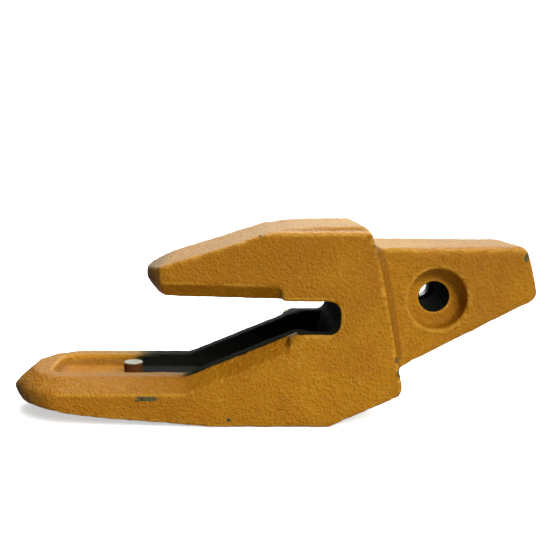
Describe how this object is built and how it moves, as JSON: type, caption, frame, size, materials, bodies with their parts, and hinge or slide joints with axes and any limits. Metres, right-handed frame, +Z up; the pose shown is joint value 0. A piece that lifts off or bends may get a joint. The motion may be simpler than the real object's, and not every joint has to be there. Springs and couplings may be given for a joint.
{
  "type": "bucket tooth adapter",
  "caption": "Weld-on tooth adapter: forked straps hold a bucket's lip plate in a slot, and a cross-bored wedge nose carries a replaceable tip.",
  "frame": {"origin": "centre of the plan box, on the surface that the adapter rests on", "axes": "+X along the adapter to the nose tip, +Y along the cross bore to the side that holds the retainer, +Z up"},
  "size_m": [0.535, 0.15, 0.196],
  "materials": {
    "ochre_paint": "satin ochre paint on a rough sand casting",
    "bare_steel": "cut flat and left bare",
    "black_rubber": "matt moulded elastomer",
    "spring_steel": "dull spring steel"
  },
  "bodies": {
    "adapter": {"adapter_casting": "ochre_paint", "pocket_stud": "bare_steel"},
    "retainer": {"retainer_rubber": "black_rubber", "retainer_ring": "spring_steel"}
  },
  "joints": [
    {"name": "retainer_pull", "type": "slide", "parent": "adapter", "child": "retainer", "axis": [0, 1, 0], "range_m": [0, 0.04]}
  ]
}
